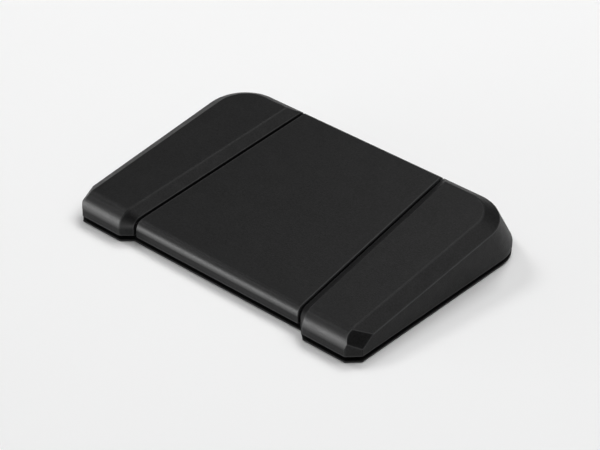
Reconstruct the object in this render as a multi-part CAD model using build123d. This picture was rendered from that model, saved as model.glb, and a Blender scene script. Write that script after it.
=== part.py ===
from build123d import *
import os
from math import atan, cos, pi, radians, sin, sqrt, tan

os.makedirs("parts", exist_ok=True)

# A foot switch with three pedals side by side, in millimetres, with angles in degrees.
# The origin is on the floor, in the middle of the footprint. The heel side faces -Y.
# A name that ends in from_front is a distance along Y from the front of the outer pedals,
# from_rear is one from the rear edge, and from_side is one along X from the side wall.

# Outer form
overall_width = 238.0
overall_depth = 170.0
wing_front_height = 19.8
top_slope = 7.2
skirt_height = 4.8
wall = 2.4
crest_round = 1.6
edge_round = 0.8

# Leaning rear wall and the plan corners, bevelled in front
rear_foot_height = 8.1
rear_lean = 31.4
rear_corner_radius = 29.0
front_corner_cut = 7.6
front_corner_round = 1.5
nose_radius = 11.6

# Shoulder between the raised tops and the walls, whose crease dips to the front corners
crease_front_height = 13.9
crease_slope = 7.2
shoulder_front_width = 8.8
shoulder_rear_width = 10.0
shoulder_back_width = 8.3
shoulder_corner_radius = 21.0
dip_from_front = 17.0
dip_outer_height = 9.8
dip_inner_height = 14.4

# Step from the raised outer pedals down to the centre pedal
step_height = 4.95
centre_setback = 6.15
valley_width = 6.4
wing_front_width = 48.5
seam_angle = 4.08
seam_gap = 2.0
seam_skirt_height = 13.0

# Base plate, the pads under it and its flat screws
pad_thickness = 0.6
pad_length = 50.0
pad_width = 16.0
pad_corner = 3.0
pad_from_front = 17.0
pad_from_rear = 17.0
pad_from_side = 50.0
plate_thickness = 1.0
plate_inset = 0.2
base_screw_from_front = 22.0
base_screw_from_rear = 15.0
front_screw_offset = 34.0
rear_screw_offset = 24.0
front_screw_from_side = 15.0
rear_screw_from_side = 20.0
flat_screw_length = 4.2

# Chassis tray
tray_inset = 4.0
tray_floor = 2.0
rim_thickness = 2.0
rim_height = 2.2
screw_boss_radius = 3.2
screw_boss_height = 3.0

# Hinge of each pedal
travel_angle = 1.0
hinge_from_front = 14.0
hinge_height = 9.2
rod_radius = 2.0
rod_overhang = 2.4
bush_wall = 1.0
knuckle_wall = 1.4
knuckle_width = 7.0
post_radius = 4.2
post_width = 5.0
post_to_knuckle = 0.5
centre_post_from_seam = 20.0
wing_post_inset = 10.2
clip_radius = 3.6
clip_thickness = 0.8
clip_distance = 0.3
clip_mouth = 2.4
groove_depth = 0.4

# Return spring, the seats under it and the caps on it
spring_to_ballast_edge = 8.0
spring_mean_radius = 7.2
spring_wire_radius = 0.8
spring_pitch = 2.6
spring_pitch_swing_share = 0.2
points_per_turn = 24
seat_radius = 9.4
seat_thickness = 1.0
peg_radius = 5.4
seat_peg_height = 4.4
cap_radius = 9.2
cap_thickness = 2.0
cap_to_roof = 2.0
cap_peg_length = 4.0
sleeve_wall = 1.8
sleeve_ledge = 2.0

# Ballast and its screws
ballast_from_front = 27.0
ballast_from_side = 17.0
ballast_thickness = 5.0
ballast_corner = 6.0
ballast_hole_margin = 1.6
ballast_screw_inset = 8.0
ballast_screw_offset = 50.0

# Screws
small_screw_radius = 1.1
small_head_radius = 2.1
small_head_height = 1.3
large_screw_radius = 1.5
large_head_radius = 2.9
large_head_height = 1.6
drive_radius = 0.9
drive_depth = 0.5

# Control board and the posts under it
board_depth = 22.0
board_from_side = 11.0
board_to_hook = 2.2
board_thickness = 1.6
board_height = 7.4
board_corner = 2.0
board_tail_width = 24.0
board_post_radius = 2.8
board_screw_inset = 4.0
board_screw_middle = 46.0
board_screw_length = 4.6

# Key switches on the board
switch_size = 14.0
switch_low_height = 5.0
switch_flange = 0.8
switch_flange_height = 1.0
switch_high_height = 6.6
switch_taper = 14.0
stem_length = 7.0
stem_width = 5.4
stem_seat_depth = 3.4
stem_cross = 4.0
stem_bar = 1.2
stem_rise = 3.6
stem_spare_travel = 0.6
pin_radius = 0.6
pin_spacing = 6.4
pin_offset = 4.0
pin_length = 3.0

# Striker of each pedal
striker_radius = 5.0
striker_thickness = 2.0
striker_gap = 0.3
stud_radius = 1.6
stud_length = 2.4

# End stops under the pedals
bumper_to_board = 0.5
centre_bumper_spread = 30.0
wing_bumper_spread = 12.5
bumper_radius = 4.0
bumper_thickness = 3.2
bumper_post_top = 14.0
bumper_boss_radius = 4.4
stop_gap = 0.3

# Catches that keep the pedals from rising
catch_from_rear = 23.0
centre_catch_spread = 34.0
wing_catch_spread = 12.0
catch_width = 10.0
catch_thickness = 2.4
catch_top = 14.2
lip_reach = 3.0
lip_thickness = 2.0
hook_width = 8.0
hook_thickness = 2.2
toe_reach = 2.6
toe_thickness = 2.0
hook_clearance = 0.6

# Stiffening ribs under the pedal tops
rib_thickness = 1.6
rib_depth = 4.5
rib_from_front = 24.0
rib_from_rear = 35.0
centre_rib_spread = 22.0
wing_rib_spread = 13.0

# USB socket, the bezel around the plug and the notch for it
socket_width = 8.94
socket_height = 3.26
socket_length = 7.4
socket_corner = 1.5
socket_shell = 0.3
socket_tab_width = 1.4
socket_tab_length = 3.0
tongue_width = 6.7
tongue_thickness = 0.7
tongue_length = 4.6
tongue_root_length = 1.8
plug_width = 13.2
plug_height = 7.0
plug_corner = 1.0
recess_depth = 4.6
bezel_wall = 1.2
bezel_inset = 3.2
bezel_corner = 1.6
notch_side_clearance = 1.2
notch_top_clearance = 0.5
notch_corner = 2.0

# Parts soldered to the board
chip_size = 7.0
chip_height = 1.0
chip_offset = 26.0
chip_lead_length = 1.0
chip_lead_width = 0.4
chip_lead_spacing = 0.8
chip_leads_per_side = 7
small_part_length = 2.0
small_part_width = 1.2
small_part_height = 0.9
small_part_start = 36.0
small_part_spacing = 4.6
small_part_columns = 4
crystal_length = 5.0
crystal_width = 3.2
crystal_height = 1.2
crystal_corner = 1.0

# Clearances
running_clearance = 0.05
seat_clearance = 0.02
fit_clearance = 0.3

# One overrun for all cuts and trims
overrun = 20.0

# Places and angles that follow from the sizes above
slope = radians(top_slope)
lean = radians(rear_lean)
seam = radians(seam_angle)
travel = radians(travel_angle)
front_y = -overall_depth / 2
rear_y = overall_depth / 2
half_width = overall_width / 2
seam_front_offset = half_width - wing_front_width
catch_from_front = overall_depth - catch_from_rear
hook_from_front = catch_from_front - lip_reach - hook_clearance - hook_thickness
board_from_front = hook_from_front - board_to_hook - board_depth
switch_from_front = board_from_front + board_depth / 2
bumper_from_front = board_from_front - bumper_to_board - bumper_radius
ballast_rear_from_front = bumper_from_front - bumper_radius - bumper_to_board
ballast_depth = ballast_rear_from_front - ballast_from_front
spring_hole_radius = seat_radius + ballast_hole_margin
spring_from_front = ballast_rear_from_front - spring_to_ballast_edge - spring_hole_radius
full_height = wing_front_height + overall_depth * tan(slope)
plate_top = pad_thickness + plate_thickness
floor_top = plate_top + tray_floor
hinge_y = front_y + hinge_from_front
spring_y = front_y + spring_from_front
switch_y = front_y + switch_from_front
bumper_y = front_y + bumper_from_front
catch_y = front_y + catch_from_front
bush_bore = rod_radius + running_clearance
bush_radius = bush_bore + bush_wall
knuckle_radius = bush_radius + knuckle_wall
knuckle_space = knuckle_width + 2 * post_to_knuckle
spring_low = floor_top + seat_thickness
cap_front_from_front = spring_from_front - cap_radius
centre_roof = wing_front_height - step_height - wall / cos(slope) + cap_front_from_front * tan(slope)
spring_high = centre_roof - cap_to_roof - cap_thickness
spring_length = spring_high - spring_low
spring_rise = spring_length - 2 * spring_wire_radius
spring_turns = int(spring_rise / spring_pitch)
ballast_top = floor_top + ballast_thickness
ballast_y = front_y + ballast_from_front
board_top = board_height + board_thickness
board_y = front_y + board_from_front
board_middle_y = board_y + board_depth / 2
switch_top = board_top + switch_low_height + switch_high_height
stem_top = switch_top + stem_rise
socket_z = board_height + board_thickness / 2
bezel_rear = rear_y - bezel_inset
recess_floor = bezel_rear - recess_depth
bezel_front = recess_floor - bezel_wall
bezel_half = plug_width / 2 + bezel_wall
bezel_top = socket_z + plug_height / 2 + bezel_wall
centre_hinge_span = 2 * (seam_front_offset - centre_post_from_seam)
seam_frame = Plane(
    origin=(seam_front_offset, front_y, 0), x_dir=(cos(seam), sin(seam), 0), z_dir=(0, 0, 1)
)


def drop_at(from_front):
    """How far a fully pressed pedal goes down at a distance from the front."""
    return (from_front - hinge_from_front) * sin(travel)


def centre_middle(from_front):
    """The centre pedal's middle line."""
    return 0.0


def wing_middle(from_front):
    """The right pedal's middle line, halfway between its seam and its side wall."""
    seam_x = seam_front_offset - from_front * tan(seam) + seam_gap / 2
    return (seam_x + half_width) / 2


def wing_post_span():
    """The distance between the two hinge posts of an outer pedal."""
    return 2 * (half_width - wing_middle(hinge_from_front) - wing_post_inset)


def box_between(low, high):
    """A box from its lowest corner to its highest corner."""
    size = [b - a for a, b in zip(low, high)]
    middle = [(a + b) / 2 for a, b in zip(low, high)]
    return Pos(*middle) * Box(*size)


def post(radius, low, high, x=0.0, y=0.0):
    """An upright cylinder between two heights."""
    return Pos(x, y, (low + high) / 2) * Cylinder(radius, high - low)


def cross_rod(radius, length, x, y, z):
    """A cylinder along X with its middle at the given place."""
    return Pos(x, y, z) * Rot(0, 90, 0) * Cylinder(radius, length)


def plan_prism(sketch, low, high):
    """A prism of a plan outline between two heights."""
    return extrude(Pos(0, 0, low) * sketch, high - low)


def side_prism(points, radius=0.0, corner=0):
    """A prism across the whole width from points in the side view, one corner rounded."""
    face = make_face(Plane.YZ * Polyline(*points, close=True))
    if radius > 0:
        y, z = points[corner]
        face = fillet(face.vertices().sort_by_distance((0, y, z))[0], radius)
    return extrude(face, half_width + overrun, both=True)


def rounded_plate(length, width, corner, low, high, x=0.0, y=0.0):
    """A flat plate with rounded corners between two heights."""
    return plan_prism(Pos(x, y) * RectangleRounded(length, width, corner), low, high)


def mirrored(shape):
    """The mirror image of a shape on the other side of the object."""
    return mirror(shape, about=Plane.YZ)


def group(shapes):
    """Separate solids kept together in one node."""
    return Compound(children=[solid for shape in shapes for solid in shape.solids()])


# Outer form of the pedals


def wall_block(inset, bottom):
    """The upright walls with the leaning rear wall and its rounded corners."""
    low_y = front_y - overrun
    high_y = rear_y - inset
    plan = Pos(0, (low_y + high_y) / 2) * Rectangle(2 * (half_width - inset), high_y - low_y)
    plan = fillet(plan.vertices().group_by(Axis.Y)[-1], rear_corner_radius - inset)
    kink = rear_foot_height - inset * tan(lean / 2)
    upright = plan_prism(plan, bottom, kink)
    lean_step = Vector(0, -full_height * tan(lean), full_height)
    return upright + Solid.extrude((Pos(0, 0, kink) * plan).face(), lean_step)


def shouldered_block(inset, bottom):
    """The wall block up to its crease, with the sloping shoulder and the raised top on it."""
    crease = radians(crease_slope)
    facet = atan(shoulder_front_width / (wing_front_height - crease_front_height))
    crease_start = crease_front_height - inset * tan(facet / 2)
    low_y = front_y - overrun
    high_y = rear_y + overrun
    points = [
        (low_y, bottom - overrun),
        (low_y, crease_start - overrun * tan(crease)),
        (high_y, crease_start + (overall_depth + overrun) * tan(crease)),
        (high_y, bottom - overrun),
    ]
    walls = wall_block(inset, bottom) & side_prism(points)
    rim = max(walls.faces(), key=lambda face: face.normal_at().Z)
    side_inset = inset * tan((pi / 2 - facet) / 2)
    rear_rise = crease_front_height + overall_depth * tan(crease) - rear_foot_height
    crease_depth = overall_depth - rear_rise * tan(lean) / (1 + tan(crease) * tan(lean))
    back = (crease_depth - shoulder_back_width - side_inset) / cos(slope)
    front_half = half_width - shoulder_front_width - side_inset
    back_half = half_width - shoulder_rear_width - side_inset
    lead = overrun / cos(slope)
    spread = (front_half - back_half) * lead / back
    outline = [
        (-front_half - spread, -lead),
        (front_half + spread, -lead),
        (back_half, back),
        (-back_half, back),
    ]
    top = make_face(Polyline(*outline, close=True))
    top = fillet(top.vertices().group_by(Axis.Y)[-1], shoulder_corner_radius - inset)
    top_origin = (0, front_y, wing_front_height - inset / cos(slope))
    top_plane = Plane(origin=top_origin, x_dir=(1, 0, 0), z_dir=(0, -sin(slope), cos(slope)))
    rim_wires = [rim.outer_wire(), (top_plane * top).face().outer_wire()]
    return walls + Solid.make_loft(rim_wires, ruled=True)


def bevelled(plan, inset):
    """A plan outline with its two front corners bevelled, for a form drawn in by a distance."""
    leg = front_corner_cut - inset * (2 - sqrt(2))
    plan = chamfer(plan.vertices().group_by(Axis.Y)[0], leg)
    if inset < front_corner_round:
        front, behind = plan.vertices().group_by(Axis.Y)[:2]
        plan = fillet(front + behind, front_corner_round - inset)
    return plan


def dip_space(inset):
    """What is above the facet where the crease dips to the bevel of the right front corner."""
    crease_height = crease_front_height + dip_from_front * tan(radians(crease_slope))
    outer = Vector(half_width, front_y + front_corner_cut, dip_outer_height)
    inner = Vector(half_width - front_corner_cut, front_y, dip_inner_height)
    rear = Vector(half_width, front_y + dip_from_front, crease_height)
    outward = (rear - outer).cross(inner - outer).normalized()
    facet = Plane(origin=outer - outward * inset, z_dir=outward)
    return facet * box_between((-overrun, -overrun, 0.0), (overrun, overrun, overrun))


def nosed_block(inset, bottom, lowered, setback, radius):
    """The shouldered block trimmed to one top plane and one rounded nose."""
    depth = overall_depth - inset
    plan = Pos(0, front_y + inset + depth / 2) * Rectangle(2 * (half_width - inset), depth)
    plan = bevelled(plan, inset)
    block = shouldered_block(inset, bottom) & plan_prism(plan, bottom - overrun, full_height)
    height = wing_front_height - lowered - inset / cos(slope)
    points = [
        (front_y + setback + inset, bottom - overrun),
        (front_y + setback + inset, height + (setback + inset) * tan(slope)),
        (rear_y + overrun, height + (overall_depth + overrun) * tan(slope)),
        (rear_y + overrun, bottom - overrun),
    ]
    return block & side_prism(points, radius - inset, corner=1)


def raised_block(inset, bottom):
    """The full outer form at the height of the outer pedals."""
    dip = dip_space(inset)
    return nosed_block(inset, bottom, 0.0, 0.0, nose_radius) - dip - mirrored(dip)


def level_block(inset, bottom):
    """The full outer form at the height of the centre pedal."""
    return nosed_block(inset, bottom, step_height, centre_setback, nose_radius - step_height)


def seam_slab(low, high, bottom=-overrun, start=-overrun, end=overall_depth + overrun):
    """An upright slab along the right seam, from low to high distance outside it."""
    return seam_frame * box_between((low, start, bottom), (high, end, full_height + overrun))


def seam_wire(shape):
    """The outline of the side of a shape that faces the right seam."""
    side = min(shape.faces(), key=lambda face: face.normal_at().dot(seam_frame.x_dir))
    return side.outer_wire()


def wing_block(inset, bottom):
    """The right pedal's form, with the slope down to its seam."""
    valley = atan(step_height / valley_width)
    near = seam_gap / 2 + inset
    far = seam_gap / 2 + valley_width + inset * tan(valley / 2)
    inside = level_block(inset, bottom) & seam_slab(near, overall_width)
    outside = raised_block(inset, bottom) & seam_slab(far, overall_width)
    return outside + Solid.make_loft([seam_wire(inside), seam_wire(outside)], ruled=True)


def centre_block(inset, bottom):
    """The centre pedal's form between the two seams."""
    cut = seam_slab(-seam_gap / 2 - inset, overall_width)
    return level_block(inset, bottom) - cut - mirrored(cut)


def top_edges(shape):
    """The edges around the sloping top, without the one that runs into the nose."""
    up = Vector(0, -sin(slope), cos(slope))
    top = max(shape.faces(), key=lambda face: face.normal_at().dot(up))
    return top.edges().sort_by(Axis.Y)[1:]


# Inner features of the pedals


def knuckle(x):
    """A hinge knuckle with its web up to the roof."""
    half = knuckle_width / 2
    web_low = (x - half, hinge_y - knuckle_radius, hinge_height)
    web_high = (x + half, hinge_y + knuckle_radius, full_height)
    return cross_rod(knuckle_radius, knuckle_width, x, hinge_y, hinge_height) + box_between(
        web_low, web_high
    )


def sleeve(x):
    """The tube that holds the spring cap."""
    outer = post(cap_radius + sleeve_wall, spring_high + fit_clearance, full_height, x, spring_y)
    pocket = post(cap_radius + seat_clearance, spring_low, spring_high + cap_thickness, x, spring_y)
    bore = post(cap_radius - sleeve_ledge, spring_low, full_height, x, spring_y)
    return outer - pocket - bore


def hook(x):
    """A hook whose toe sits under the lip of a catch."""
    rear = front_y + hook_from_front + hook_thickness
    toe_top = catch_top - lip_thickness - stop_gap
    blade_low = (x - hook_width / 2, rear - hook_thickness, toe_top - toe_thickness)
    blade = box_between(blade_low, (x + hook_width / 2, rear, full_height))
    toe_low = (x - hook_width / 2, rear - hook_thickness, toe_top - toe_thickness)
    return blade + box_between(toe_low, (x + hook_width / 2, rear + toe_reach, toe_top))


def rib(x):
    """A stiffening rib along the pedal, later trimmed to its depth under the roof."""
    return box_between(
        (x - rib_thickness / 2, front_y + rib_from_front, floor_top),
        (x + rib_thickness / 2, rear_y - rib_from_rear, full_height),
    )


def hinge_places(middle, span):
    """Where the tray's posts and the pedal's knuckles stand along the hinge."""
    x = middle(hinge_from_front)
    post_places = [x - span / 2, x + span / 2]
    step = span / 2 - post_width / 2 - post_to_knuckle - knuckle_width / 2
    return post_places, [x - step, x + step]


def spread_pair(middle, from_front, spread):
    """Two places, one on each side of a pedal's middle line."""
    x = middle(from_front)
    return [x - spread, x + spread]


def roof_space(block_maker):
    """The space that ribs may fill, from the roof down to the rib depth."""
    depth = wall / 2 + rib_depth
    lowered = Pos(0, 0, -depth / cos(slope)) * block_maker(wall / 2, skirt_height - overrun)
    return block_maker(wall / 2, skirt_height) - lowered


def pedal_shell(block_maker, middle, span, bumper_spread, catch_spread, rib_spread, edges_round):
    """A hollow pedal with its knuckles, sleeve, striker boss, stop bosses, hooks and ribs."""
    outer = block_maker(0.0, skirt_height)
    outer = fillet(top_edges(outer), edges_round)
    shell = outer - block_maker(wall, skirt_height - overrun)
    knuckles = hinge_places(middle, span)[1]
    features = [knuckle(x) for x in knuckles]
    features.append(sleeve(middle(spring_from_front)))
    striker_low = stem_top + striker_gap + striker_thickness
    switch_x = middle(switch_from_front)
    features.append(post(striker_radius, striker_low, full_height, switch_x, switch_y))
    boss_low = bumper_post_top + bumper_thickness + drop_at(bumper_from_front) + stop_gap
    for x in spread_pair(middle, bumper_from_front, bumper_spread):
        features.append(post(bumper_boss_radius, boss_low, full_height, x, bumper_y))
    for x in spread_pair(middle, catch_from_front, catch_spread):
        features.append(hook(x))
    core = block_maker(wall / 2, skirt_height)
    space = roof_space(block_maker)
    for feature in features:
        shell += feature & core
    for x in spread_pair(middle, spring_from_front, rib_spread):
        shell += rib(x) & space
    for x in knuckles:
        shell -= cross_rod(bush_radius + seat_clearance, knuckle_space, x, hinge_y, hinge_height)
    stud_space = post(stud_radius + seat_clearance, striker_low, striker_low + stud_length)
    return shell - Pos(switch_x, switch_y, 0) * stud_space


def seam_relief():
    """What is cut from the foot of the pedals beside the right seam, above the tray."""
    reach = seam_gap / 2 + wall + fit_clearance
    start = centre_setback + wall
    end = overall_depth - wall
    block = seam_slab(-reach, reach, skirt_height - overrun, start, end)
    foot = plan_prism(Rectangle(2 * overall_width, 2 * overall_depth), -overrun, seam_skirt_height)
    return block & foot


def port_notch():
    """The opening in the rear skirt of the centre pedal, clear of the bezel when pressed."""
    half = bezel_half + notch_side_clearance
    top = bezel_top + drop_at(overall_depth) + notch_top_clearance
    low_z = skirt_height - overrun
    outline = Pos(0, (low_z + top) / 2) * RectangleRounded(2 * half, top - low_z, notch_corner)
    return extrude(Plane.XZ.offset(-bezel_front) * outline, -(rear_y + overrun - bezel_front))


def make_wing_pedal():
    """The right pedal."""
    shell = pedal_shell(
        wing_block,
        wing_middle,
        wing_post_span(),
        wing_bumper_spread,
        wing_catch_spread,
        wing_rib_spread,
        crest_round,
    )
    return shell - seam_relief()


def make_centre_pedal():
    """The centre pedal."""
    shell = pedal_shell(
        centre_block,
        centre_middle,
        centre_hinge_span,
        centre_bumper_spread,
        centre_catch_spread,
        centre_rib_spread,
        edge_round,
    )
    relief = seam_relief()
    return shell - relief - mirrored(relief) - port_notch()


# Small pieces that ride on the pedals


def make_bushes(middle, span):
    """The two bushes of a pedal's hinge."""
    ring = Cylinder(bush_radius, knuckle_width) - Cylinder(bush_bore, knuckle_space)
    places = hinge_places(middle, span)[1]
    return group([Pos(x, hinge_y, hinge_height) * Rot(0, 90, 0) * ring for x in places])


def make_spring_cap(middle):
    """The cap that sits in the sleeve and centres the top of the spring."""
    cap = post(cap_radius, spring_high, spring_high + cap_thickness)
    cap += post(peg_radius, spring_high - cap_peg_length, spring_high)
    cap = fillet(cap.edges().group_by(Axis.Z)[0], edge_round)
    return Pos(middle(spring_from_front), spring_y, 0) * cap


def make_striker_pad(middle):
    """The pad that presses the switch stem, with a stud up into its boss."""
    low = stem_top + striker_gap
    pad = post(striker_radius, low, low + striker_thickness)
    pad = fillet(pad.edges().group_by(Axis.Z)[0], edge_round)
    pad += post(stud_radius, low + striker_thickness, low + striker_thickness + stud_length)
    return Pos(middle(switch_from_front), switch_y, 0) * pad


# Hinge rods and clips


def make_hinge_rod(middle, span):
    """A rod held in the tray's posts, grooved for the clips at its ends."""
    length = span + post_width + 2 * rod_overhang
    x = middle(hinge_from_front)
    rod = cross_rod(rod_radius, length, x, hinge_y, hinge_height)
    ring = Cylinder(clip_radius, clip_thickness) - Cylinder(rod_radius - groove_depth, overrun)
    for place in clip_places(middle, span):
        rod -= Pos(place, hinge_y, hinge_height) * Rot(0, 90, 0) * ring
    return rod


def clip_places(middle, span):
    """Where the clips sit along a hinge rod, just outside the posts."""
    reach = span / 2 + post_width / 2 + clip_distance + clip_thickness / 2
    x = middle(hinge_from_front)
    return [x - reach, x + reach]


def make_clips():
    """The retaining clips of all three rods, open towards the floor."""
    ring = Cylinder(clip_radius, clip_thickness - 2 * seat_clearance)
    ring -= Cylinder(rod_radius - groove_depth + seat_clearance, overrun)
    ring -= Pos(overrun / 2, 0, 0) * Box(overrun, clip_mouth, overrun)
    clips = []
    for place in clip_places(centre_middle, centre_hinge_span):
        clips.append(Pos(place, hinge_y, hinge_height) * Rot(0, 90, 0) * ring)
    for place in clip_places(wing_middle, wing_post_span()):
        clip = Pos(place, hinge_y, hinge_height) * Rot(0, 90, 0) * ring
        clips += [clip, mirrored(clip)]
    return group(clips)


# Base plate and pads


def footprint():
    """The plan outline of the pedals at their feet, with the setback in front."""
    seam_x = seam_front_offset - centre_setback * tan(seam) + seam_gap / 2
    shoulder_x = seam_front_offset + (seam_gap / 2 + valley_width) / cos(seam)
    right = [
        (seam_x, front_y + centre_setback),
        (shoulder_x, front_y),
        (half_width, front_y),
        (half_width, rear_y),
    ]
    left = [(-x, y) for x, y in reversed(right)]
    face = make_face(Polyline(*right, *left, close=True))
    corners = face.vertices().filter_by(lambda v: abs(v.X) > half_width - edge_round)
    face = chamfer(corners.filter_by(lambda v: v.Y < 0), front_corner_cut)
    corners = face.vertices().filter_by(lambda v: v.Y > rear_y - edge_round)
    return fillet(corners, rear_corner_radius)


def inset_footprint(inset):
    """The footprint drawn in by a distance."""
    return offset(footprint(), amount=-inset, kind=Kind.INTERSECTION)


def base_screw_places():
    """Where the flat screws hold the base plate to the tray."""
    front = front_y + base_screw_from_front
    rear = rear_y - base_screw_from_rear
    rows = [
        (front_screw_offset, front),
        (half_width - front_screw_from_side, front),
        (rear_screw_offset, rear),
        (half_width - rear_screw_from_side, rear),
    ]
    return [(side * x, y) for x, y in rows for side in (1, -1)]


def flat_head(radius):
    """The countersunk head of a base screw, as tall as the plate is thick."""
    cone = Cone(radius, small_screw_radius, plate_thickness)
    return Pos(0, 0, pad_thickness + plate_thickness / 2) * cone


def make_base_plate():
    """The steel sheet under the whole switch, with countersunk holes."""
    plate = plan_prism(inset_footprint(plate_inset), pad_thickness, plate_top)
    hole = flat_head(small_head_radius + seat_clearance)
    hole += post(small_screw_radius + seat_clearance, 0.0, floor_top)
    for x, y in base_screw_places():
        plate -= Pos(x, y, 0) * hole
    return plate


def make_pads():
    """The four pads that the switch stands on."""
    pads = []
    pad_offset = half_width - pad_from_side
    for y in (front_y + pad_from_front, rear_y - pad_from_rear):
        for x in (-pad_offset, pad_offset):
            pads.append(rounded_plate(pad_length, pad_width, pad_corner, 0.0, pad_thickness, x, y))
    return group(pads)


def make_base_screws():
    """Flat screws flush with the underside of the base plate."""
    screw = flat_head(small_head_radius)
    screw += post(small_screw_radius, pad_thickness, pad_thickness + flat_screw_length)
    screw -= post(drive_radius, 0.0, pad_thickness + drive_depth)
    return group([Pos(x, y, 0) * screw for x, y in base_screw_places()])


# Tray


def tray_posts():
    """The hinge posts of all three pedals."""
    shapes = []
    for middle, span in ((centre_middle, centre_hinge_span), (wing_middle, wing_post_span())):
        for x in hinge_places(middle, span)[0]:
            half = post_width / 2
            stand = box_between(
                (x - half, hinge_y - post_radius, plate_top),
                (x + half, hinge_y + post_radius, hinge_height),
            )
            stand += cross_rod(post_radius, post_width, x, hinge_y, hinge_height)
            stand -= cross_rod(rod_radius + seat_clearance, overrun, x, hinge_y, hinge_height)
            shapes.append(stand)
    return shapes


def catch(x):
    """A bracket on the tray with a lip over the hook of a pedal."""
    half = catch_width / 2
    bracket = box_between((x - half, catch_y, plate_top), (x + half, catch_y + catch_thickness, catch_top))
    lip_low = (x - half, catch_y - lip_reach, catch_top - lip_thickness)
    return bracket + box_between(lip_low, (x + half, catch_y + catch_thickness, catch_top))


def spring_seat(x):
    """The seat and the peg that centre the foot of a spring."""
    seat = post(seat_radius, plate_top, spring_low, x, spring_y)
    return seat + post(peg_radius, spring_low, spring_low + seat_peg_height, x, spring_y)


def bumper_post(x):
    """The post that carries an end stop bumper, bored for its stud."""
    column = post(bumper_radius, plate_top, bumper_post_top, x, bumper_y)
    bore = post(stud_radius + seat_clearance, bumper_post_top - stud_length, full_height, x, bumper_y)
    return column - bore


def board_screw_places():
    """Where the control board is screwed to its posts."""
    low_y = board_y + board_screw_inset
    high_y = board_y + board_depth - board_screw_inset
    outer = half_width - board_from_side - board_screw_inset
    return [(side * x, y) for x, y in ((outer, low_y), (board_screw_middle, high_y)) for side in (1, -1)]


def board_post(x, y):
    """A post under the control board, bored for its screw."""
    column = post(board_post_radius, plate_top, board_height, x, y)
    return column - post(small_screw_radius + seat_clearance, floor_top, full_height, x, y)


def make_tray():
    """The moulded tray that carries everything inside."""
    outline = inset_footprint(tray_inset)
    tray = plan_prism(outline, plate_top, floor_top)
    rim = outline - inset_footprint(tray_inset + rim_thickness)
    tray += plan_prism(rim, floor_top, floor_top + rim_height)
    features = tray_posts() + [catch(centre_catch_spread)]
    features += [catch(x) for x in spread_pair(wing_middle, catch_from_front, wing_catch_spread)]
    features += [bumper_post(x) for x in spread_pair(wing_middle, bumper_from_front, wing_bumper_spread)]
    features.append(bumper_post(centre_bumper_spread))
    features.append(spring_seat(wing_middle(spring_from_front)))
    for feature in features:
        tray = tray + feature + mirrored(feature)
    tray += spring_seat(centre_middle(spring_from_front))
    space = cross_rod(knuckle_radius + fit_clearance, knuckle_space, 0.0, hinge_y, hinge_height)
    for middle, span in ((centre_middle, centre_hinge_span), (wing_middle, wing_post_span())):
        for x in hinge_places(middle, span)[1]:
            tray = tray - Pos(x, 0, 0) * space - mirrored(Pos(x, 0, 0) * space)
    for x, y in board_screw_places():
        tray += board_post(x, y)
    bore_top = floor_top + screw_boss_height
    for x, y in base_screw_places():
        tray += post(screw_boss_radius, plate_top, bore_top, x, y)
        tray -= post(small_screw_radius + seat_clearance, 0.0, bore_top - screw_boss_height / 2, x, y)
    for x, y in ballast_screw_places():
        tray -= post(large_screw_radius + seat_clearance, 0.0, full_height, x, y)
    gap_half = bezel_half + seat_clearance
    return tray - box_between((-gap_half, bezel_front, floor_top), (gap_half, rear_y, full_height))


def make_bumpers():
    """The end stop bumpers with their studs."""
    top = bumper_post_top + bumper_thickness
    bumper = post(bumper_radius, bumper_post_top, top)
    bumper = fillet(bumper.edges().group_by(Axis.Z)[-1], edge_round)
    bumper += post(stud_radius, bumper_post_top - stud_length, bumper_post_top)
    places = spread_pair(wing_middle, bumper_from_front, wing_bumper_spread) + [centre_bumper_spread]
    return group([Pos(side * x, bumper_y, 0) * bumper for x in places for side in (1, -1)])


# Ballast


def ballast_screw_places():
    """Where the ballast is screwed down."""
    low_y = ballast_y + ballast_screw_inset
    high_y = ballast_y + ballast_depth - ballast_screw_inset
    return [(side * ballast_screw_offset, y) for y in (low_y, high_y) for side in (1, -1)]


def make_ballast():
    """The steel weight, with holes for the springs and its screws."""
    middle_y = ballast_y + ballast_depth / 2
    width = 2 * (half_width - ballast_from_side)
    weight = rounded_plate(width, ballast_depth, ballast_corner, floor_top, ballast_top, y=middle_y)
    wing_x = wing_middle(spring_from_front)
    for x in (-wing_x, 0.0, wing_x):
        weight -= post(spring_hole_radius, 0.0, full_height, x, spring_y)
    for x, y in ballast_screw_places():
        weight -= post(large_screw_radius + seat_clearance, 0.0, full_height, x, y)
    return weight


def make_ballast_screws():
    """Pan head screws through the ballast into the tray."""
    head_top = ballast_top + large_head_height
    screw = post(large_head_radius, ballast_top, head_top)
    screw = fillet(screw.edges().group_by(Axis.Z)[-1], large_head_height / 2)
    screw += post(large_screw_radius, plate_top, ballast_top)
    screw -= post(drive_radius, head_top - drive_depth, full_height)
    return group([Pos(x, y, 0) * screw for x, y in ballast_screw_places()])


# Springs


def coil_point(share, turns):
    """A point of the coil's middle line, closer wound at both ends, and its direction."""
    turn = 2 * pi * share
    height = spring_rise * (share - spring_pitch_swing_share * sin(turn) / (2 * pi))
    climb = spring_rise * (1 - spring_pitch_swing_share * cos(turn))
    angle = turn * turns
    point = Vector(
        spring_mean_radius * cos(angle),
        spring_mean_radius * sin(angle),
        spring_low + spring_wire_radius + height,
    )
    sideways = 2 * pi * turns * spring_mean_radius
    direction = Vector(-sideways * sin(angle), sideways * cos(angle), climb)
    return point, direction.normalized()


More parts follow.
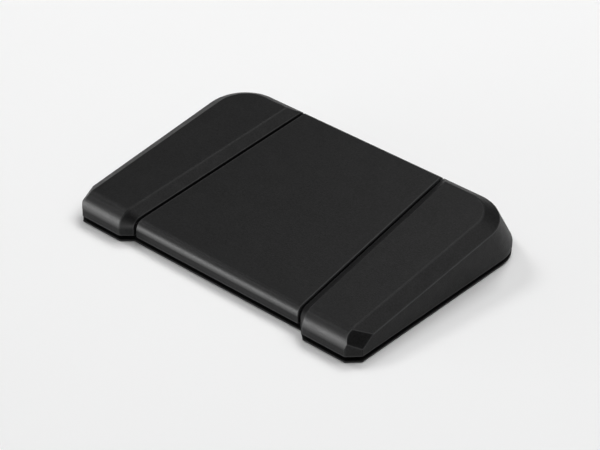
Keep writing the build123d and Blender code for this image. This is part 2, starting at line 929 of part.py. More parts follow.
def biarc(start, start_direction, end, end_direction):
    """Two arcs that join two points smoothly in their given directions."""
    chord = end - start
    both = start_direction + end_direction
    bend = 2 * (1 - start_direction.dot(end_direction))
    along = chord.dot(both)
    reach = (sqrt(along * along + bend * chord.dot(chord)) - along) / bend
    low = start + start_direction * reach
    high = end - end_direction * reach
    joint = (low + high) * 0.5
    first = Edge.make_tangent_arc(start, start_direction, joint)
    return [first, Edge.make_tangent_arc(joint, high - low, end)]


def make_coil():
    """The return spring as one wire on quarter turns, at x and y of zero."""
    quarters = 4 * spring_turns
    edges = []
    for k in range(quarters):
        start, start_direction = coil_point(k / quarters, spring_turns)
        end, end_direction = coil_point((k + 1) / quarters, spring_turns)
        edges += biarc(start, start_direction, end, end_direction)
    start, start_direction = coil_point(0.0, spring_turns)
    section = Plane(origin=start, z_dir=start_direction) * Circle(spring_wire_radius)
    return sweep(section, path=Wire(edges))


def coil_gap():
    """The least gap between neighbouring turns, measured on points of the middle line."""
    steps = points_per_turn * spring_turns
    points = [coil_point(k / steps, spring_turns)[0] for k in range(steps + 1)]
    apart = [
        (points[j] - points[i]).length
        for i in range(steps + 1)
        for j in range(i + points_per_turn // 2, steps + 1)
    ]
    return min(apart) - 2 * spring_wire_radius


# Control board and what is soldered to it


def socket_outline(shrink):
    """The rounded outline of the USB socket in its own plane, drawn in by a distance."""
    return RectangleRounded(
        socket_width - 2 * shrink, socket_height - 2 * shrink, socket_corner - shrink
    )


def socket_prism(sketch, low_y, high_y):
    """A prism along Y of an outline around the socket's axis."""
    return extrude(Plane.XZ.offset(-low_y) * (Pos(0, socket_z) * sketch), low_y - high_y)


def make_board():
    """The T-shaped control board with its screw holes, pin holes and socket cut-out."""
    arm = Pos(0, board_middle_y) * Rectangle(2 * (half_width - board_from_side), board_depth)
    tail_end = bezel_front - fit_clearance
    tail = Pos(0, (board_middle_y + tail_end) / 2) * Rectangle(board_tail_width, tail_end - board_middle_y)
    outline = arm + tail
    ends = outline.vertices().filter_by(lambda v: abs(v.X) > board_tail_width)
    outline = fillet(ends, board_corner)
    board = plan_prism(outline, board_height, board_top)
    for x, y in board_screw_places():
        board -= post(small_screw_radius + seat_clearance, 0.0, full_height, x, y)
    for x, y in pin_places():
        board -= post(pin_radius + seat_clearance, 0.0, full_height, x, y)
    half = socket_width / 2 + seat_clearance
    low = (-half, recess_floor - socket_length - seat_clearance, 0.0)
    return board - box_between(low, (half, rear_y, full_height))


def make_board_screws():
    """Screws that hold the board on its posts."""
    head_top = board_top + small_head_height
    screw = post(small_head_radius, board_top, head_top)
    screw = fillet(screw.edges().group_by(Axis.Z)[-1], small_head_height / 2)
    screw += post(small_screw_radius, board_top - board_screw_length, board_top)
    screw -= post(drive_radius, head_top - drive_depth, full_height)
    return group([Pos(x, y, 0) * screw for x, y in board_screw_places()])


def make_chip():
    """The controller chip with its rows of leads."""
    body_low = board_top + chip_lead_width / 2
    chip = box_between(
        (chip_offset - chip_size / 2, board_middle_y - chip_size / 2, body_low),
        (chip_offset + chip_size / 2, board_middle_y + chip_size / 2, body_low + chip_height),
    )
    first = -(chip_leads_per_side - 1) / 2 * chip_lead_spacing
    reach = chip_size / 2 + chip_lead_length
    for k in range(chip_leads_per_side):
        along = first + k * chip_lead_spacing
        lead_x = box_between(
            (-reach, along - chip_lead_width / 2, board_top),
            (reach, along + chip_lead_width / 2, board_top + chip_lead_width),
        )
        lead_y = box_between(
            (along - chip_lead_width / 2, -reach, board_top),
            (along + chip_lead_width / 2, reach, board_top + chip_lead_width),
        )
        chip += Pos(chip_offset, board_middle_y, 0) * (lead_x + lead_y)
    return chip


def make_small_parts():
    """Small parts in two rows and a crystal can beside the chip."""
    parts = []
    for k in range(small_part_columns):
        x = small_part_start + k * small_part_spacing
        for y in (board_middle_y - chip_size / 2, board_middle_y + chip_size / 2):
            parts.append(
                box_between(
                    (x - small_part_width / 2, y - small_part_length / 2, board_top),
                    (x + small_part_width / 2, y + small_part_length / 2, board_top + small_part_height),
                )
            )
    can_top = board_top + crystal_height
    can_x = -chip_offset
    can = rounded_plate(
        crystal_length, crystal_width, crystal_corner, board_top, can_top, can_x, board_middle_y
    )
    return group(parts + [can])


# Key switches


def pin_places():
    """Where the switch pins pass through the board."""
    wing_x = wing_middle(switch_from_front)
    middles = [-wing_x, 0.0, wing_x]
    return [(x + side * pin_spacing / 2, switch_y + pin_offset) for x in middles for side in (1, -1)]


def make_switch_housing(middle):
    """The square switch housing with a pocket for its stem."""
    low_top = board_top + switch_low_height
    housing = plan_prism(Rectangle(switch_size, switch_size), board_top, low_top)
    flange_size = switch_size + 2 * switch_flange
    housing += plan_prism(
        RectangleRounded(flange_size, flange_size, switch_flange), low_top - switch_flange_height, low_top
    )
    housing += extrude(
        Pos(0, 0, low_top) * Rectangle(switch_size, switch_size), switch_high_height, taper=switch_taper
    )
    pocket = Rectangle(stem_length + 2 * running_clearance, stem_width + 2 * running_clearance)
    housing -= plan_prism(pocket, stem_foot() - drop_at(switch_from_front) - stem_spare_travel, full_height)
    return Pos(middle(switch_from_front), switch_y, 0) * housing


def stem_foot():
    """The height of the underside of a switch stem at rest."""
    return switch_top - stem_seat_depth


def make_switch_stem(middle):
    """The travelling stem with its raised cross."""
    stem = plan_prism(Rectangle(stem_length, stem_width), stem_foot(), switch_top)
    cross = Rectangle(stem_cross, stem_bar) + Rectangle(stem_bar, stem_cross)
    stem += plan_prism(cross, switch_top, stem_top)
    return Pos(middle(switch_from_front), switch_y, 0) * stem


def make_pins():
    """The pins of the three switches, through the board."""
    low = board_top - pin_length
    return group([post(pin_radius, low, board_top, x, y) for x, y in pin_places()])


# USB port


def make_socket():
    """The metal shell of the USB socket, closed at its back, with tabs on the board."""
    back_y = recess_floor - socket_length
    shell = socket_prism(socket_outline(0.0), back_y, recess_floor)
    shell -= socket_prism(socket_outline(socket_shell), back_y + socket_shell, rear_y)
    reach = socket_width / 2
    tab = box_between(
        (reach - socket_shell, back_y, board_top),
        (reach + socket_tab_width, back_y + socket_tab_length, board_top + socket_shell),
    )
    return shell + tab + mirrored(tab)


def make_tongue():
    """The contact tongue of the USB socket on its root."""
    root_low = recess_floor - socket_length + socket_shell
    root_high = root_low + tongue_root_length
    tongue = socket_prism(socket_outline(socket_shell + seat_clearance), root_low, root_high)
    blade = Rectangle(tongue_width, tongue_thickness)
    return tongue + socket_prism(blade, root_low, root_high + tongue_length)


def make_bezel():
    """The block at the rear of the tray with the recess for the plug."""
    sketch = Rectangle(2 * bezel_half, bezel_top - floor_top)
    block = socket_prism(Pos(0, (bezel_top + floor_top) / 2 - socket_z) * sketch, bezel_front, bezel_rear)
    block = fillet(block.edges().filter_by(Axis.Y).group_by(Axis.Z)[-1], bezel_corner)
    recess = RectangleRounded(plug_width, plug_height, plug_corner)
    block -= socket_prism(recess, recess_floor, rear_y)
    return block - socket_prism(socket_outline(-seat_clearance), bezel_front - overrun, rear_y)


# All nodes

wing_pedal = make_wing_pedal()
coil = make_coil()
nodes = {
    "right_pedal": wing_pedal,
    "left_pedal": mirrored(wing_pedal),
    "centre_pedal": make_centre_pedal(),
    "base_plate": make_base_plate(),
    "sole_pads": make_pads(),
    "base_screws": make_base_screws(),
    "chassis_tray": make_tray(),
    "end_stop_bumpers": make_bumpers(),
    "ballast_plate": make_ballast(),
    "ballast_screws": make_ballast_screws(),
    "rod_clips": make_clips(),
    "control_board": make_board(),
    "board_screws": make_board_screws(),
    "controller_chip": make_chip(),
    "board_parts": make_small_parts(),
    "switch_pins": make_pins(),
    "usb_socket": make_socket(),
    "usb_tongue": make_tongue(),
    "port_bezel": make_bezel(),
}

for side, middle, span in (
    ("centre", centre_middle, centre_hinge_span),
    ("right", wing_middle, wing_post_span()),
):
    nodes[side + "_hinge_rod"] = make_hinge_rod(middle, span)
    nodes[side + "_hinge_bushes"] = make_bushes(middle, span)
    nodes[side + "_spring_cap"] = make_spring_cap(middle)
    nodes[side + "_striker_pad"] = make_striker_pad(middle)
    nodes[side + "_switch_housing"] = make_switch_housing(middle)
    nodes[side + "_switch_stem"] = make_switch_stem(middle)
    nodes[side + "_spring"] = Pos(middle(spring_from_front), spring_y, 0) * coil

for name in [name for name in nodes if name.startswith("right_") and name != "right_pedal"]:
    nodes[name.replace("right_", "left_")] = mirrored(nodes[name])

for name, shape in nodes.items():
    export_step(shape, "parts/" + name + ".step")

print("nodes", len(nodes))
print("least gap between turns of a spring", round(coil_gap(), 3))
print("hinge axis y and z", hinge_y, hinge_height)
print("pedal drop at the rear edge", round(drop_at(overall_depth), 3))
print("switch travel", round(drop_at(switch_from_front), 3))
print("spring length and turns", round(spring_length, 3), spring_turns)
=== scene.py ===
import logging
import math
from dataclasses import dataclass
from enum import Enum

import bpy
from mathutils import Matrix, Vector


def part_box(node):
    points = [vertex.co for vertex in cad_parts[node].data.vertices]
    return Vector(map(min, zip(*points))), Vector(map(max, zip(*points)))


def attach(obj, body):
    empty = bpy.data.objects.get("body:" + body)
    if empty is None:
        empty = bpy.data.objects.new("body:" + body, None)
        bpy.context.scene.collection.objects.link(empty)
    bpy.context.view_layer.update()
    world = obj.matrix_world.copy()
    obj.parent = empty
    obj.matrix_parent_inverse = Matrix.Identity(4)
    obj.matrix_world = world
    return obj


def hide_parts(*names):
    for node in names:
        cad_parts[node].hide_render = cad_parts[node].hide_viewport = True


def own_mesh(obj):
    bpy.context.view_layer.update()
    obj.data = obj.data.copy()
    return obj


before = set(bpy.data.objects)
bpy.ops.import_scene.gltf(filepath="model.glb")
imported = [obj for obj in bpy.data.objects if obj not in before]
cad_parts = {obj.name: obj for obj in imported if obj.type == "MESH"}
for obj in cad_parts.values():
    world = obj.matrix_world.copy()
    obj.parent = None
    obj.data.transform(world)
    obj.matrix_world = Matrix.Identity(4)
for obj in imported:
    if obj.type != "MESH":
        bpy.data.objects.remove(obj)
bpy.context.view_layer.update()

log = logging.getLogger("foot_switch")

Colour = tuple[float, float, float]
Point = tuple[float, float, float]
MILLI = 0.001

# Sockets of a Mix node, whose names repeat for each kind of value
MIX_FACTOR = 0
MIX_FLOAT_A, MIX_FLOAT_B, MIX_FLOAT_RESULT = 2, 3, 0
MIX_COLOUR_A, MIX_COLOUR_B, MIX_COLOUR_RESULT = 6, 7, 2

# The middle of a noise, where nearly all of its values lie
NOISE_LOW, NOISE_HIGH = 0.3, 0.7


class Side(Enum):
    """The three pedals, by the prefix of their nodes and bodies."""

    LEFT = "left"
    CENTRE = "centre"
    RIGHT = "right"

    def node(self, part: str) -> str:
        """The name of this pedal's node for a part."""
        return f"{self.value}_{part}"


class NodeTree:
    """A short way to add and link shader nodes in one material or world."""

    def __init__(self, owner: bpy.types.ID) -> None:
        """Empty the owner's tree.

        Args:
            owner: The material or world whose nodes are written.
        """
        owner.use_nodes = True
        self.tree = owner.node_tree
        self.tree.nodes.clear()

    def add(self, kind: str, **settings: object) -> bpy.types.Node:
        """Add a node and set its properties.

        Args:
            kind: The node's Blender type.
            settings: Property names and values.

        Returns:
            The new node.
        """
        node = self.tree.nodes.new(kind)
        for name, value in settings.items():
            setattr(node, name, value)
        return node

    def link(self, source: bpy.types.NodeSocket, target: bpy.types.NodeSocket) -> None:
        """Join two sockets."""
        self.tree.links.new(source, target)

    def noise(self, coordinates: bpy.types.NodeSocket, size: float, detail: float) -> bpy.types.Node:
        """Add noise whose blobs are about a given size.

        Args:
            coordinates: The socket that gives the place.
            size: The size of the blobs in metres.
            detail: How many finer layers it has.

        Returns:
            The noise node.
        """
        node = self.add("ShaderNodeTexNoise")
        node.inputs["Scale"].default_value = 1.0 / size
        node.inputs["Detail"].default_value = detail
        self.link(coordinates, node.inputs["Vector"])
        return node

    def spread(self, value: bpy.types.NodeSocket, low: float, high: float) -> bpy.types.NodeSocket:
        """Map the middle of a noise onto a range.

        Args:
            value: A socket that runs from 0 to 1.
            low: What the darker blobs become.
            high: What the lighter blobs become.

        Returns:
            The socket with the mapped value.
        """
        node = self.add("ShaderNodeMapRange")
        node.inputs["From Min"].default_value = NOISE_LOW
        node.inputs["From Max"].default_value = NOISE_HIGH
        node.inputs["To Min"].default_value = low
        node.inputs["To Max"].default_value = high
        self.link(value, node.inputs["Value"])
        return node.outputs["Result"]

    def tint(self, factor: bpy.types.NodeSocket, dark: Colour, light: Colour) -> bpy.types.NodeSocket:
        """Mix two colours by a factor.

        Args:
            factor: A socket that runs from 0 to 1.
            dark: The colour at 0.
            light: The colour at 1.

        Returns:
            The socket with the mixed colour.
        """
        node = self.add("ShaderNodeMix", data_type="RGBA")
        node.inputs[MIX_COLOUR_A].default_value = (*dark, 1.0)
        node.inputs[MIX_COLOUR_B].default_value = (*light, 1.0)
        self.link(factor, node.inputs[MIX_FACTOR])
        return node.outputs[MIX_COLOUR_RESULT]


def shaded(colour: Colour, factor: float) -> Colour:
    """A colour made darker or lighter by a factor."""
    return tuple(min(1.0, channel * factor) for channel in colour)


@dataclass(frozen=True)
class Finish:
    """A surface finish: its colour, gloss, grain and unevenness.

    Sizes are in metres. A share is how far a value strays from its middle, and edge_share is how
    many times paler than the rest the edges are painted, a painted highlight that also stands for
    rubbed wear. Without edge_width no edge is painted paler, and without front_specular the front is
    as shiny as the rest.
    """

    name: str
    colour: Colour
    roughness: float
    metallic: float = 0.0
    specular: float = 0.5
    grain_size: float = 0.35 * MILLI
    grain_depth: float = 0.02 * MILLI
    grain_detail: float = 2.0
    patch_size: float = 18.0 * MILLI
    patch_share: float = 0.1
    patch_detail: float = 3.0
    speckle_size: float = 1.2 * MILLI
    speckle_weight: float = 0.5
    speckle_detail: float = 2.0
    gloss_share: float = 0.08
    smears_per_patch: float = 3.0
    smear_detail: float = 4.0
    stretch: Point = (1.0, 1.0, 1.0)
    coat: float = 0.0
    edge_width: float = 0.0
    edge_share: float = 1.0
    edge_samples: int = 8
    edge_start: float = 0.9995
    edge_full: float = 0.99
    front_specular: float = 0.0
    front_turn: tuple[float, float] = (-0.5, -0.85)
    front_rise: tuple[float, float] = (-0.03, 0.18)

    def worn_and_highlit_edges(self, nodes: NodeTree) -> bpy.types.NodeSocket:
        """Find the edges that are painted paler: a painted highlight along them, which also stands for
        rubbed wear.

        They are where a rounded normal and the true one part: edge_start and edge_full are the
        cosines of the angle between them.

        Args:
            nodes: The tree of the material.

        Returns:
            A socket that is 1 along the edges and 0 on the flats.
        """
        rounded = nodes.add("ShaderNodeBevel", samples=self.edge_samples)
        rounded.inputs["Radius"].default_value = self.edge_width
        geometry = nodes.add("ShaderNodeNewGeometry")
        turn = nodes.add("ShaderNodeVectorMath", operation="DOT_PRODUCT")
        nodes.link(rounded.outputs["Normal"], turn.inputs[0])
        nodes.link(geometry.outputs["Normal"], turn.inputs[1])
        edge = nodes.add("ShaderNodeMapRange")
        edge.inputs["From Min"].default_value = self.edge_start
        edge.inputs["From Max"].default_value = self.edge_full
        nodes.link(turn.outputs["Value"], edge.inputs["Value"])
        return edge.outputs["Result"]

    def front_shine(self, nodes: NodeTree) -> bpy.types.NodeSocket:
        """Make the rolled front edge, which shoes polish, shinier than the rest.

        It is where the normal turns to the user (front_turn, along Y) and still rises a little
        (front_rise, along Z); each gives where the shine starts and where it is full.

        Args:
            nodes: The tree of the material.

        Returns:
            A socket with the specular level.
        """
        geometry = nodes.add("ShaderNodeNewGeometry")
        axes = nodes.add("ShaderNodeSeparateXYZ")
        nodes.link(geometry.outputs["Normal"], axes.inputs["Vector"])
        both = nodes.add("ShaderNodeMath", operation="MULTIPLY")
        for index, (axis, limits) in enumerate((("Y", self.front_turn), ("Z", self.front_rise))):
            share = nodes.add("ShaderNodeMapRange")
            share.inputs["From Min"].default_value, share.inputs["From Max"].default_value = limits
            nodes.link(axes.outputs[axis], share.inputs["Value"])
            nodes.link(share.outputs["Result"], both.inputs[index])
        shine = nodes.add("ShaderNodeMapRange")
        shine.inputs["To Min"].default_value = self.specular
        shine.inputs["To Max"].default_value = self.front_specular
        nodes.link(both.outputs["Value"], shine.inputs["Value"])
        return shine.outputs["Result"]

    def material(self) -> bpy.types.Material:
        """Build the finish as a node material.

        Returns:
            The material, on object coordinates.
        """
        material = bpy.data.materials.new(self.name)
        nodes = NodeTree(material)
        place = nodes.add("ShaderNodeTexCoord").outputs["Object"]
        mapping = nodes.add("ShaderNodeMapping")
        mapping.inputs["Scale"].default_value = self.stretch
        nodes.link(place, mapping.inputs["Vector"])
        grain_place = mapping.outputs["Vector"]
        shader = nodes.add("ShaderNodeBsdfPrincipled")
        shader.inputs["Metallic"].default_value = self.metallic
        shader.inputs["Specular IOR Level"].default_value = self.specular
        if self.front_specular:
            nodes.link(self.front_shine(nodes), shader.inputs["Specular IOR Level"])
        shader.inputs["Coat Weight"].default_value = self.coat
        patches = nodes.noise(place, self.patch_size, self.patch_detail)
        speckle = nodes.noise(grain_place, self.speckle_size, self.speckle_detail)
        uneven = nodes.add("ShaderNodeMix", data_type="FLOAT")
        uneven.inputs[MIX_FACTOR].default_value = self.speckle_weight
        nodes.link(nodes.spread(patches.outputs["Fac"], 0.0, 1.0), uneven.inputs[MIX_FLOAT_A])
        nodes.link(nodes.spread(speckle.outputs["Fac"], 0.0, 1.0), uneven.inputs[MIX_FLOAT_B])
        colour = nodes.tint(
            uneven.outputs[MIX_FLOAT_RESULT],
            shaded(self.colour, 1.0 - self.patch_share),
            shaded(self.colour, 1.0 + self.patch_share),
        )
        # Painted highlight along the edges: their colour is mixed towards one edge_share times paler, which
        # also stands for rubbed wear.
        if self.edge_width:
            edge_highlight_mix = nodes.add("ShaderNodeMix", data_type="RGBA")
            edge_highlight_mix.inputs[MIX_COLOUR_B].default_value = (*shaded(self.colour, self.edge_share), 1.0)
            nodes.link(self.worn_and_highlit_edges(nodes), edge_highlight_mix.inputs[MIX_FACTOR])
            nodes.link(colour, edge_highlight_mix.inputs[MIX_COLOUR_A])
            colour = edge_highlight_mix.outputs[MIX_COLOUR_RESULT]
        nodes.link(colour, shader.inputs["Base Color"])
        smears = nodes.noise(grain_place, self.patch_size / self.smears_per_patch, self.smear_detail)
        gloss = nodes.spread(
            smears.outputs["Fac"],
            self.roughness * (1.0 - self.gloss_share),
            self.roughness * (1.0 + self.gloss_share),
        )
        nodes.link(gloss, shader.inputs["Roughness"])
        grain = nodes.noise(grain_place, self.grain_size, self.grain_detail)
        bump = nodes.add("ShaderNodeBump")
        bump.inputs["Distance"].default_value = self.grain_depth
        nodes.link(grain.outputs["Fac"], bump.inputs["Height"])
        nodes.link(bump.outputs["Normal"], shader.inputs["Normal"])
        output = nodes.add("ShaderNodeOutputMaterial")
        nodes.link(shader.outputs["BSDF"], output.inputs["Surface"])
        return material


SATIN_SHELL = Finish(
    "satin_shell",
    (0.009, 0.009, 0.0092),
    0.45,
    specular=0.13,
    grain_size=0.7 * MILLI,
    grain_depth=0.09 * MILLI,
    patch_share=0.45,
    speckle_size=1.1 * MILLI,
    speckle_weight=0.8,
    # Edges painted 4.5 times paler: a painted highlight along the crests, also standing for rubbed wear.
    edge_width=1.3 * MILLI,
    edge_share=4.5,
    front_specular=0.95,
)
DARK_MOULDING = Finish("dark_moulding", (0.006, 0.006, 0.0062), 0.55, specular=0.35)
POWDER_COAT = Finish("powder_coat", (0.006, 0.006, 0.0062), 0.5, specular=0.4, grain_size=0.6 * MILLI)
SOLE_RUBBER = Finish("sole_rubber", (0.012, 0.012, 0.012), 0.85, specular=0.3, patch_share=0.2)
BLACK_ZINC = Finish("black_zinc", (0.06, 0.06, 0.065), 0.35, metallic=1.0)
ROLLED_STEEL = Finish("rolled_steel", (0.5, 0.5, 0.51), 0.34, metallic=1.0, stretch=(1.0, 14.0, 1.0))
SPRING_STEEL = Finish("spring_steel", (0.45, 0.45, 0.46), 0.28, metallic=1.0)
SOLDER_MASK = Finish("solder_mask", (0.012, 0.07, 0.035), 0.35, coat=0.3)
CHIP_PACKAGE = Finish("chip_package", (0.02, 0.02, 0.021), 0.5)
CERAMIC = Finish("ceramic", (0.4, 0.32, 0.22), 0.45)
TINNED_BRASS = Finish("tinned_brass", (0.72, 0.6, 0.34), 0.3, metallic=1.0)
NICKEL = Finish("nickel", (0.62, 0.61, 0.58), 0.25, metallic=1.0)
ACETAL = Finish("acetal", (0.72, 0.71, 0.67), 0.42)
SWITCH_NYLON = Finish("switch_nylon", (0.03, 0.03, 0.032), 0.5)
STEM_ACETAL = Finish("stem_acetal", (0.4, 0.11, 0.04), 0.38)


class Workshop:
    """Makes each finish once and puts it on nodes and pieces."""

    def __init__(self) -> None:
        """Start with no material made."""
        self.made: dict[str, bpy.types.Material] = {}

    def material(self, finish: Finish) -> bpy.types.Material:
        """The material of a finish, made on first use."""
        if finish.name not in self.made:
            self.made[finish.name] = finish.material()
        return self.made[finish.name]

    def dress(self, nodes: list[str], finish: Finish) -> None:
        """Put a finish on CAD nodes.

        Args:
            nodes: The names of the nodes.
            finish: What they get.
        """
        for name in nodes:
            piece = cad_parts[name]
            for slot in piece.material_slots:
                slot.material = self.material(finish)
            log.info("node %s is dressed in %s", name, finish.name)


@dataclass
class SubAssembly:
    """A part of the switch whose nodes share a purpose."""

    workshop: Workshop

    def finishes(self) -> dict[str, Finish]:
        """The finish of each CAD node."""
        return {}

    def build(self) -> None:
        """Dress the nodes."""
        for name, finish in self.finishes().items():
            self.workshop.dress([name], finish)


@dataclass
class Pedals(SubAssembly):
    """The three pedal shells with the small pieces that ride on them."""

    def finishes(self) -> dict[str, Finish]:
        """The finish of each CAD node."""
        table: dict[str, Finish] = {}
        for side in Side:
            table[side.node("pedal")] = SATIN_SHELL
            table[side.node("hinge_bushes")] = ACETAL
            table[side.node("spring_cap")] = ACETAL
            table[side.node("striker_pad")] = SOLE_RUBBER
        return table


@dataclass
class Mechanism(SubAssembly):
    """The hinge rods, clips, end stops and return springs.

    Each spring is a coil with closed, ground ends.
    """

    foot: float = 4.61 * MILLI
    length: float = 13.89 * MILLI
    turns: int = 4
    wire_radius: float = 0.8 * MILLI
    wire_facets: int = 16
    steps_per_turn: int = 40
    closing_share: float = 0.6
    grinding: float = 0.35 * MILLI
    smooth_angle: float = math.radians(35.0)
    hinge_y: float = -71.0 * MILLI
    tilt: float = math.radians(1.0)
    end_clearance: float = 0.02 * MILLI

    def finishes(self) -> dict[str, Finish]:
        """The finish of each CAD node."""
        table: dict[str, Finish] = {"rod_clips": SPRING_STEEL, "end_stop_bumpers": SOLE_RUBBER}
        for side in Side:
            table[side.node("hinge_rod")] = ROLLED_STEEL
        return table

    def wire(self, coil_radius: float, rise: float) -> bpy.types.Object:
        """Sweep the wire's round section up its turns.

        Args:
            coil_radius: From the axis to the middle of the wire.
            rise: From the middle of the first turn's start to the last turn's end.

        Returns:
            The wire with closed ends, its first section at z of zero.
        """
        bpy.ops.object.select_all(action="DESELECT")
        bpy.ops.mesh.primitive_circle_add(
            vertices=self.wire_facets, radius=self.wire_radius, rotation=(math.pi / 2, 0.0, 0.0)
        )
        coil = bpy.context.object
        bpy.ops.object.transform_apply(location=True, rotation=True, scale=True)
        bpy.ops.object.mode_set(mode="EDIT")
        bpy.ops.mesh.select_all(action="SELECT")
        bpy.ops.transform.translate(value=(coil_radius, 0.0, 0.0))
        bpy.ops.object.mode_set(mode="OBJECT")
        bpy.ops.object.modifier_add(type="SCREW")
        screw = coil.modifiers[0]
        screw.angle = 2 * math.pi
        screw.iterations = self.turns
        screw.screw_offset = rise / self.turns
        screw.steps = screw.render_steps = self.steps_per_turn
        bpy.ops.object.modifier_apply(modifier=screw.name)
        bpy.ops.object.mode_set(mode="EDIT")
        bpy.ops.mesh.select_all(action="SELECT")
        bpy.ops.mesh.fill_holes(sides=0)
        bpy.ops.mesh.normals_make_consistent(inside=False)
        bpy.ops.object.mode_set(mode="OBJECT")
        return coil

    def close_ends(self, coil: bpy.types.Object, rise: float) -> None:
        """Draw the first and last turns together, as on a closed spring.

        Args:
            coil: The wire with an even pitch.
            rise: From its first section to its last.
        """
        for vertex in coil.data.vertices:
            turn = math.atan2(vertex.co.y, vertex.co.x) / (2 * math.pi)
            turn += round(vertex.co.z * self.turns / rise - turn)
            share = turn / self.turns
            vertex.co.z -= rise * self.closing_share * math.sin(2 * math.pi * share) / (2 * math.pi)

    def grind(self, coil: bpy.types.Object) -> None:
        """Flatten both ends of a spring that stands in its place."""
        for vertex in coil.data.vertices:
            vertex.co.z = min(max(vertex.co.z, self.foot), self.foot + self.length)
        bpy.ops.object.shade_smooth_by_angle(angle=self.smooth_angle)

    def coil(self, side: Side) -> bpy.types.Object:
        """Model the return spring where one pedal's spring is.

        Args:
            side: The pedal whose spring gives the place and the size.

        Returns:
            The finished spring, at the origin and unscaled.
        """
        low, high = (Vector(corner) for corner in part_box(side.node("spring")))
        middle = (low + high) / 2
        rise = self.length - 2 * self.wire_radius + 2 * self.grinding
        coil = self.wire((high.x - low.x) / 2 - self.wire_radius, rise)
        self.close_ends(coil, rise)
        coil.location = (middle.x, middle.y, self.foot + self.wire_radius - self.grinding)
        bpy.ops.object.transform_apply(location=True, rotation=True, scale=True)
        self.grind(coil)
        coil.data.materials.append(self.workshop.material(SPRING_STEEL))
        return coil

    def fit(self, coil: bpy.types.Object, side: Side) -> None:
        """Put a spring in the place of a CAD spring.

        Args:
            coil: The spring, already in its place.
            side: The pedal that presses it.
        """
        coil.name = side.node("return_coil")
        coil.data.name = coil.name
        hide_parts(side.node("spring"))
        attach(coil, "base")
        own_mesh(coil)
        log.info("piece %s replaces the CAD spring", coil.name)

    def repeat(self, coil: bpy.types.Object, start: Side, side: Side) -> bpy.types.Object:
        """Copy a spring from one pedal to another.

        Args:
            coil: The finished spring.
            start: The pedal whose spring it is.
            side: The pedal that gets the copy.

        Returns:
            The copy, with its own mesh.
        """
        bpy.ops.object.select_all(action="DESELECT")
        copy = coil.copy()
        copy.data = coil.data.copy()
        bpy.context.scene.collection.objects.link(copy)
        copy.select_set(True)
        bpy.context.view_layer.objects.active = copy
        here, there = (Vector(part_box(place.node("spring"))[0]) for place in (start, side))
        copy.location = there - here
        bpy.ops.object.transform_apply(location=True, rotation=True, scale=True)
        return copy

    def build(self) -> None:
        """Dress the nodes and wind the three springs."""
        super().build()
        coils = {Side.LEFT: self.coil(Side.LEFT)}
        for side in (Side.CENTRE, Side.RIGHT):
            coils[side] = self.repeat(coils[Side.LEFT], Side.LEFT, side)
        for side, coil in coils.items():
            self.fit(coil, side)


@dataclass
class Base(SubAssembly):
    """The tray, the plate under it, the ballast, the pads and the screws."""

    def finishes(self) -> dict[str, Finish]:
        """The finish of each CAD node."""
        return {
            "chassis_tray": DARK_MOULDING,
            "base_plate": POWDER_COAT,
            "sole_pads": SOLE_RUBBER,
            "base_screws": BLACK_ZINC,
            "ballast_plate": ROLLED_STEEL,
            "ballast_screws": BLACK_ZINC,
        }


@dataclass
class Electronics(SubAssembly):
    """The board, its parts, the key switches and the USB port."""

    def finishes(self) -> dict[str, Finish]:
        """The finish of each CAD node."""
        table = {
            "control_board": SOLDER_MASK,
            "board_screws": BLACK_ZINC,
            "controller_chip": CHIP_PACKAGE,
            "board_parts": CERAMIC,
            "switch_pins": TINNED_BRASS,
            "usb_socket": NICKEL,
            "usb_tongue": CHIP_PACKAGE,
            "port_bezel": DARK_MOULDING,
        }
        for side in Side:
            table[side.node("switch_housing")] = SWITCH_NYLON
            table[side.node("switch_stem")] = STEM_ACETAL
        return table


@dataclass(frozen=True)
class Softbox:
    """A rectangular softbox that faces the object.

    The azimuth runs from +X towards +Y, and the level is how bright its face is next to white.
    """

    name: str
    azimuth: float
    elevation: float
    distance: float
    width: float
    height: float
    level: float

    def hang(self) -> None:
        """Put the softbox in its place."""
        turn = math.radians(self.azimuth)
        rise = math.radians(self.elevation)
        outward = Vector((math.cos(turn) * math.cos(rise), math.sin(turn) * math.cos(rise), math.sin(rise)))
        light = bpy.data.lights.new(self.name, "AREA")
        light.shape = "RECTANGLE"
        light.size = self.width
        light.size_y = self.height
        light.energy = math.pi * self.width * self.height * self.level
        lamp = bpy.data.objects.new(self.name, light)
        lamp.location = outward * self.distance
        lamp.rotation_mode = "QUATERNION"
        lamp.rotation_quaternion = (-outward).to_track_quat("-Z", "Y")
        bpy.context.scene.collection.objects.link(lamp)


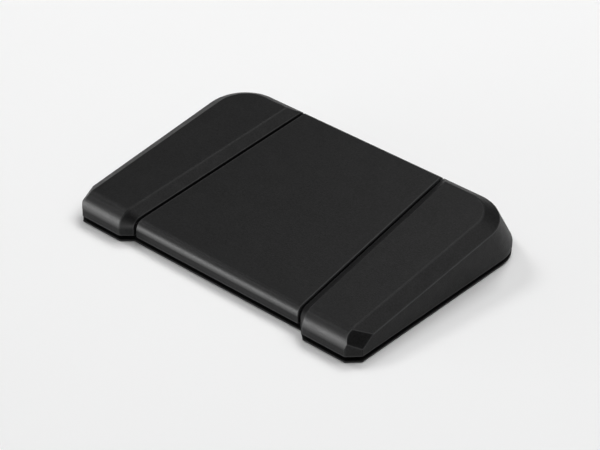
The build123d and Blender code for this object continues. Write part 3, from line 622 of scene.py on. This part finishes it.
@dataclass
class Studio:
    """The floor, the soft light and the camera."""

    azimuth: float = 42.05
    elevation: float = 33.99
    distance: float = 1.451
    aim: Point = (0.0008, -0.0014, 0.0066)
    lens: float = 136.91
    sensor: float = 36.0
    floor_size: float = 80.0
    floor_colour: Colour = (0.94, 0.94, 0.94)
    floor_shade: float = 0.99
    floor_patch: float = 0.4
    floor_detail: float = 2.0
    floor_roughness: float = 0.9
    dome_level: float = 0.1
    horizon_share: float = 0.3
    horizon_top: float = 5.0
    dome_start: float = 12.0
    lights: tuple[Softbox, ...] = (
        Softbox(
            "right_softbox", azimuth=44.0, elevation=62.0, distance=3.0, width=1.9, height=1.5, level=3.5
        ),
        Softbox(
            "rear_softbox", azimuth=114.0, elevation=60.0, distance=3.0, width=1.2, height=0.9, level=8.4
        ),
        Softbox(
            "left_softbox", azimuth=188.0, elevation=50.0, distance=3.0, width=0.9, height=0.8, level=9.0
        ),
        Softbox(
            "front_strip", azimuth=235.0, elevation=4.0, distance=5.0, width=4.4, height=0.68, level=10.0
        ),
        Softbox(
            "front_softbox", azimuth=282.0, elevation=65.0, distance=3.0, width=1.6, height=1.4, level=1.7
        ),
    )

    def camera(self) -> None:
        """Place the camera at the photograph's angle."""
        turn = math.radians(self.azimuth)
        rise = math.radians(self.elevation)
        back = Vector(
            (math.sin(turn) * math.cos(rise), -math.cos(turn) * math.cos(rise), math.sin(rise))
        )
        lens = bpy.data.cameras.new("camera")
        lens.sensor_width = self.sensor
        lens.lens = self.lens
        lens.clip_end = self.floor_size
        camera = bpy.data.objects.new("camera", lens)
        camera.location = Vector(self.aim) + back * self.distance
        camera.rotation_mode = "QUATERNION"
        camera.rotation_quaternion = (-back).to_track_quat("-Z", "Y")
        bpy.context.scene.collection.objects.link(camera)
        bpy.context.scene.camera = camera

    def floor(self) -> None:
        """Lay the pale floor."""
        bpy.ops.object.select_all(action="DESELECT")
        bpy.ops.mesh.primitive_plane_add(size=self.floor_size)
        floor = bpy.context.object
        floor.name = "floor"
        material = bpy.data.materials.new("pale_floor")
        nodes = NodeTree(material)
        place = nodes.add("ShaderNodeTexCoord").outputs["Object"]
        shader = nodes.add("ShaderNodeBsdfPrincipled")
        shader.inputs["Roughness"].default_value = self.floor_roughness
        shader.inputs["Specular IOR Level"].default_value = 0.0
        patches = nodes.noise(place, self.floor_patch, self.floor_detail)
        colour = nodes.tint(
            nodes.spread(patches.outputs["Fac"], 0.0, 1.0),
            shaded(self.floor_colour, self.floor_shade),
            self.floor_colour,
        )
        nodes.link(colour, shader.inputs["Base Color"])
        output = nodes.add("ShaderNodeOutputMaterial")
        nodes.link(shader.outputs["BSDF"], output.inputs["Surface"])
        floor.data.materials.append(material)

    def world(self) -> None:
        """Light from a soft even dome over a dim horizon."""
        world = bpy.data.worlds.new("studio")
        bpy.context.scene.world = world
        nodes = NodeTree(world)
        place = nodes.add("ShaderNodeTexCoord").outputs["Generated"]
        axes = nodes.add("ShaderNodeSeparateXYZ")
        nodes.link(place, axes.inputs["Vector"])
        ramp = nodes.add("ShaderNodeValToRGB")
        ramp.color_ramp.interpolation = "EASE"
        stops = ((self.horizon_top, self.horizon_share), (self.dome_start, 1.0))
        for element, (angle, level) in zip(ramp.color_ramp.elements, stops):
            element.position = math.sin(math.radians(angle))
            element.color = (level, level, level, 1.0)
        nodes.link(axes.outputs["Z"], ramp.inputs["Fac"])
        light = nodes.add("ShaderNodeBackground")
        light.inputs["Strength"].default_value = self.dome_level
        nodes.link(ramp.outputs["Color"], light.inputs["Color"])
        output = nodes.add("ShaderNodeOutputWorld")
        nodes.link(light.outputs["Background"], output.inputs["Surface"])

    def build(self) -> None:
        """Set up the camera, the floor and the light."""
        self.camera()
        self.floor()
        self.world()
        for softbox in self.lights:
            softbox.hang()
        bpy.context.scene.view_settings.view_transform = "Standard"
        log.info("the studio is set up")


def main() -> None:
    """Build the switch and its studio."""
    logging.basicConfig(level=logging.INFO, format="%(message)s")
    workshop = Workshop()
    Studio().build()
    for assembly in (Pedals, Mechanism, Base, Electronics):
        assembly(workshop).build()


if __name__ == "__main__":
    main()
